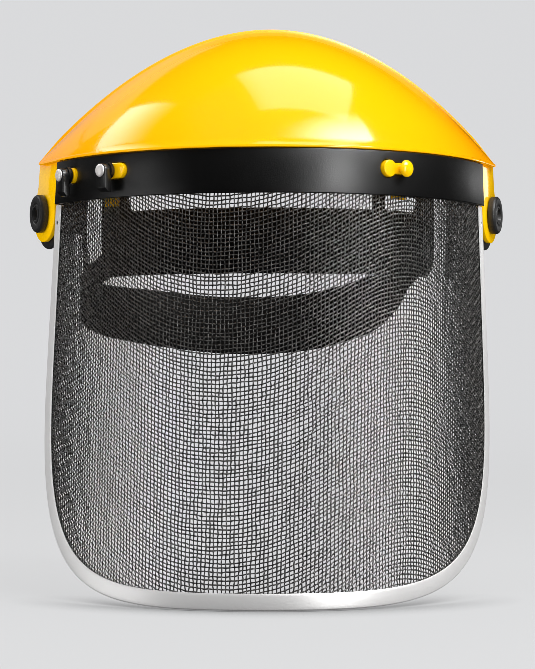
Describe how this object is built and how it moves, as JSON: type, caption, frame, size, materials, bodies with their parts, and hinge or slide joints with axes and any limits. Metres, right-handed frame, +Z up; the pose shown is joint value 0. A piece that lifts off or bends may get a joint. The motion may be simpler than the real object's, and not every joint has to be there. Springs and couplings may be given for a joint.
{
  "type": "mesh face shield",
  "caption": "Worn face shield: a glossy domed brow guard and a band carry a curved woven wire screen with a metal edge trim, and tilt on an open head ring.",
  "frame": {"origin": "middle of the head ring, level with the middle of the forehead band: where the wearer's head holds the shield", "axes": "+Z up as worn, the front faces -Y, +X to the right as seen from the front"},
  "size_m": [0.2434, 0.2216, 0.2811],
  "materials": {
    "guard_yellow": "polished injection moulding, bright yellow",
    "moulded_black": "satin black moulding with a fine grain",
    "latch_black": "smooth black moulding",
    "screen_wire": "black coated plain-woven wire",
    "trim_aluminium": "satin rolled channel",
    "rivet_steel": "domed rivet head",
    "harness_black": "flexible black moulding"
  },
  "bodies": {
    "harness": {"forehead_band": "harness_black", "nape_strap": "harness_black", "side_bracket_left": "harness_black", "side_bracket_right": "harness_black"},
    "visor": {"brow_guard": "guard_yellow", "visor_band": "moulded_black", "mesh_screen": "screen_wire", "edge_trim": "trim_aluminium", "pivot_disc_left": "moulded_black", "pivot_disc_right": "moulded_black", "pivot_knob_left": "moulded_black", "pivot_knob_right": "moulded_black", "latch_front_rivet": "rivet_steel", "latch_rear_rivet": "rivet_steel"},
    "latch_front": {"latch_front": "latch_black"},
    "latch_rear": {"latch_rear": "latch_black"}
  },
  "joints": [
    {"name": "visor_tilt", "type": "hinge", "parent": "harness", "child": "visor", "pos_m": [0, -0.01233, 0.0173], "axis": [-1, 0, 0], "range_deg": [0, 85]},
    {"name": "latch_front_turn", "type": "hinge", "parent": "visor", "child": "latch_front", "pos_m": [-0.07875, -0.08618, 0.0334], "axis": [-0.7679, -0.6405, 0], "range_deg": [0, 90]},
    {"name": "latch_rear_turn", "type": "hinge", "parent": "visor", "child": "latch_rear", "pos_m": [-0.09829, -0.05627, 0.0334], "axis": [-0.8895, -0.457, 0], "range_deg": [0, 90]}
  ]
}
